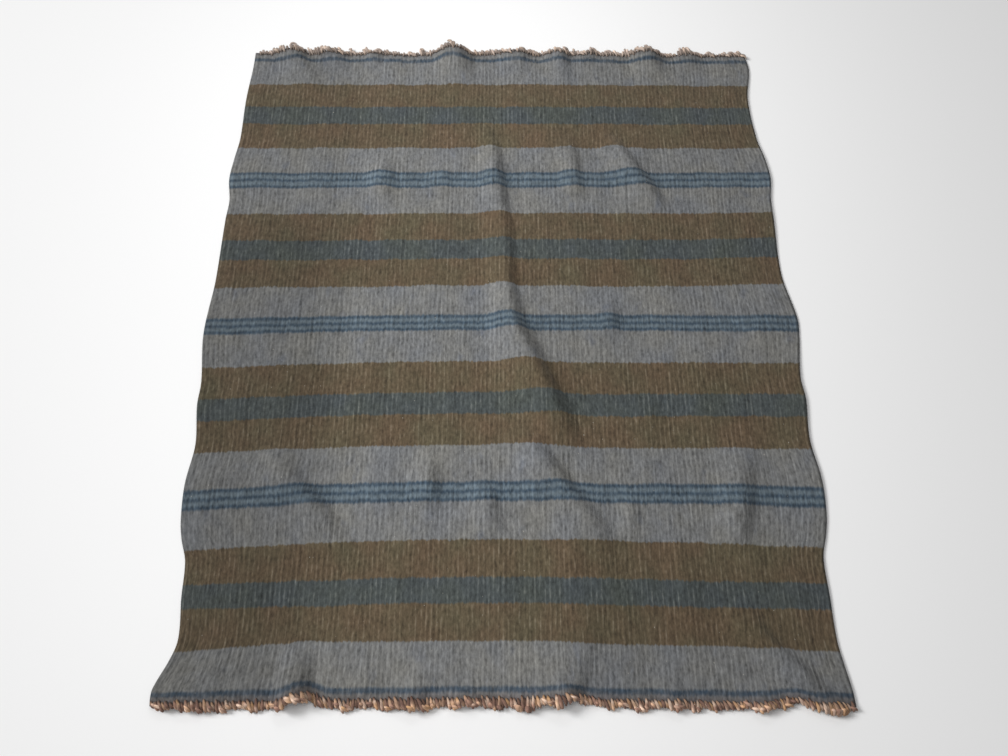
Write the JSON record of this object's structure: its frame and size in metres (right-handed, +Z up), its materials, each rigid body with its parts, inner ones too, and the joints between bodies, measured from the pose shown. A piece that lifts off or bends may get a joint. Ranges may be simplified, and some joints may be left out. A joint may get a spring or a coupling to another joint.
{
  "type": "wool blanket",
  "caption": "Rectangular milled wool blanket laid out flat, with low folds and both ends ruffled by a toothed yarn edging.",
  "frame": {"origin": "on the surface that the blanket lies on, under the middle of its bounding box", "axes": "+Z up, +Y along the blanket from the near stitched end to the far one, +X across it to the right selvedge"},
  "size_m": [1.54, 1.8662, 0.0468],
  "materials": {
    "brushed_wool": "milled and brushed wool cloth, matt, grey ground with brown, blue-green and navy weft stripes",
    "edging_yarn": "thick soft wool yarn dyed in changing orange, peach, red-brown and mustard lengths, matt"
  },
  "bodies": {
    "root": {"blanket_cloth": "brushed_wool", "edging_near": "edging_yarn", "edging_far": "edging_yarn"}
  },
  "joints": []
}
